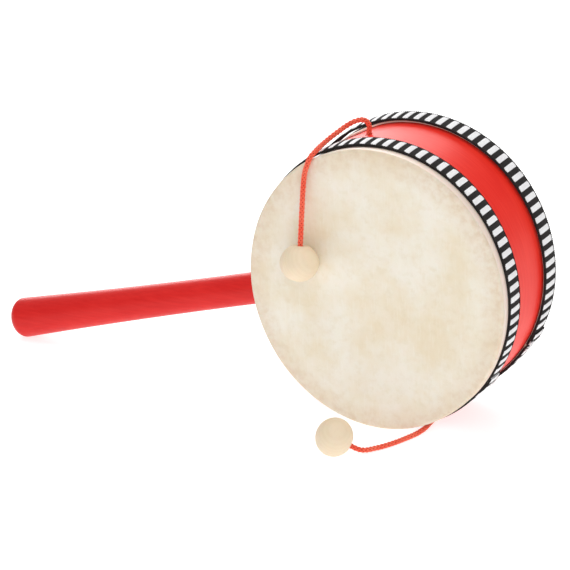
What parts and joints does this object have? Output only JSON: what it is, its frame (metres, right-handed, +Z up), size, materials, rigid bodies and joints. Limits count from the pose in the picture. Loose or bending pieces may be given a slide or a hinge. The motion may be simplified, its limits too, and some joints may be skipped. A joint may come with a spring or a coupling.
{
  "type": "rattle drum",
  "caption": "Hand rattle drum on a turned handle, with skin heads, braid-trimmed rims and wooden beads on cords that strike the heads.",
  "frame": {"origin": "on the ground, under the middle of the drum and handle together", "axes": "+Z up, the drum's axis along Y with the front head facing -Y, and the handle running towards -X and down"},
  "size_m": [0.3222, 0.1168, 0.1605],
  "materials": {
    "shell_red": "satin red paint",
    "front_skin": "pale rawhide",
    "back_skin": "pale rawhide",
    "front_braid": "black and white woven braid",
    "back_braid": "black and white woven braid",
    "handle_red": "satin red paint",
    "upper_cord_red": "round red braid",
    "lower_cord_red": "round red braid",
    "upper_bead_wood": "pale turned wood",
    "lower_bead_wood": "pale turned wood"
  },
  "bodies": {
    "root": {"shell": "shell_red", "front_head": "front_skin", "back_head": "back_skin", "front_tape": "front_braid", "back_tape": "back_braid", "handle": "handle_red", "cord_upper": "upper_cord_red", "cord_lower": "lower_cord_red", "bead_upper": "upper_bead_wood", "bead_lower": "lower_bead_wood"}
  },
  "joints": []
}
